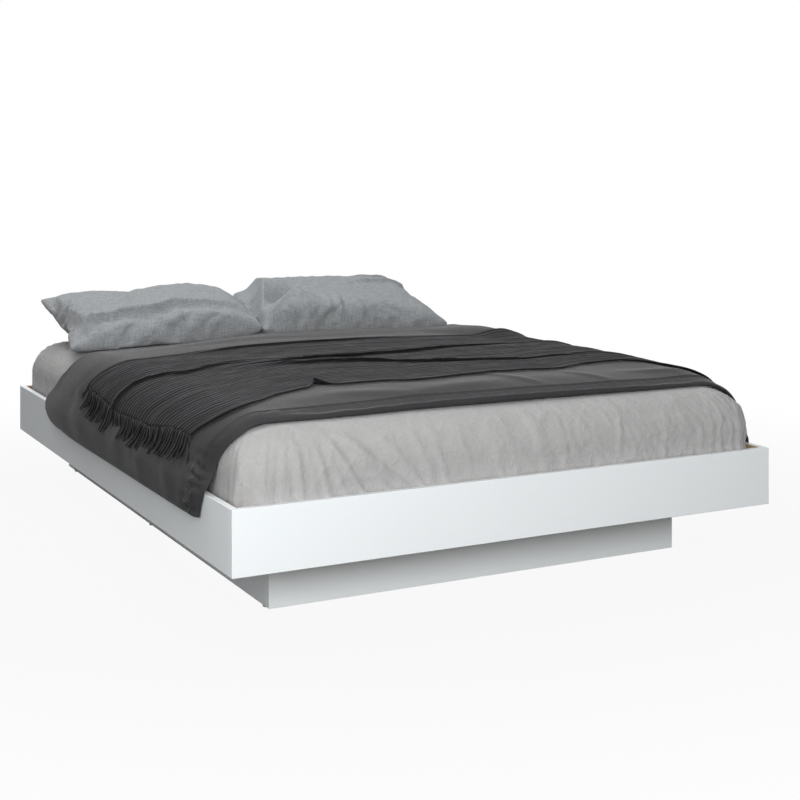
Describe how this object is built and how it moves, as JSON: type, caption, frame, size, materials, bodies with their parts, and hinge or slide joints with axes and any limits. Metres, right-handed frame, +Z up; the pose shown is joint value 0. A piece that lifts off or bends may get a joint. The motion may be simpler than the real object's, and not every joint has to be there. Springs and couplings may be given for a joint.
{
  "type": "platform bed with bedding",
  "caption": "Low white laminate platform bed on a recessed plinth, made up with a mattress in a fitted sheet, a dark duvet, a ribbed fringed throw and linen pillows.",
  "frame": {"origin": "on the floor under the middle of the bed", "axes": "+X across the bed, to the right as seen from the foot; +Y from foot to head; +Z up"},
  "size_m": [1.4856, 1.95, 0.6155],
  "materials": {
    "white_laminate": "smooth matt white melamine on board",
    "pine": "planed, bare",
    "zinc_steel": "bright zinc plated",
    "beech": "fluted beech, bare",
    "zinc_cast": "die cast, satin",
    "glide_plastic": "moulded, matt",
    "mattress_fabric": "knitted ticking over foam",
    "grey_sheet": "woven cotton, matt",
    "charcoal_quilt": "washed cotton quilt, matt",
    "charcoal_throw": "ribbed wool knit, matt",
    "grey_linen": "crumpled linen, matt"
  },
  "bodies": {
    "root": {"left_side_rail": "white_laminate", "right_side_rail": "white_laminate", "foot_rail": "white_laminate", "head_rail": "white_laminate", "front_bearer": "white_laminate", "middle_bearer_1": "white_laminate", "middle_bearer_2": "white_laminate", "rear_bearer": "white_laminate", "centre_bearer": "white_laminate", "plinth_front": "white_laminate", "plinth_back": "white_laminate", "plinth_left_side": "white_laminate", "plinth_right_side": "white_laminate", "plinth_cross_1": "white_laminate", "plinth_cross_2": "white_laminate", "plinth_centre": "white_laminate", "left_ledger": "pine", "right_ledger": "pine", "foot_cleat": "pine", "slat_01": "pine", "slat_02": "pine", "slat_03": "pine", "slat_04": "pine", "slat_05": "pine", "slat_06": "pine", "slat_07": "pine", "slat_08": "pine", "slat_09": "pine", "slat_10": "pine", "slat_11": "pine", "slat_12": "pine", "slat_13": "pine", "slat_14": "pine", "corner_brackets": "zinc_steel", "bearer_brackets": "zinc_steel", "plinth_brackets": "zinc_steel", "centre_brackets": "zinc_steel", "bracket_screws": "zinc_steel", "ledger_screws": "zinc_steel", "slat_screws": "zinc_steel", "cam_bolts": "zinc_steel", "glide_nails": "zinc_steel", "rail_dowels": "beech", "plinth_dowels": "beech", "bearer_dowels": "beech", "cam_locks": "zinc_cast", "glides": "glide_plastic", "mattress": "mattress_fabric", "fitted_sheet": "grey_sheet", "duvet": "charcoal_quilt", "throw": "charcoal_throw", "left_fringe": "charcoal_throw", "right_fringe": "charcoal_throw", "left_pillow": "grey_linen", "right_pillow": "grey_linen"}
  },
  "joints": []
}
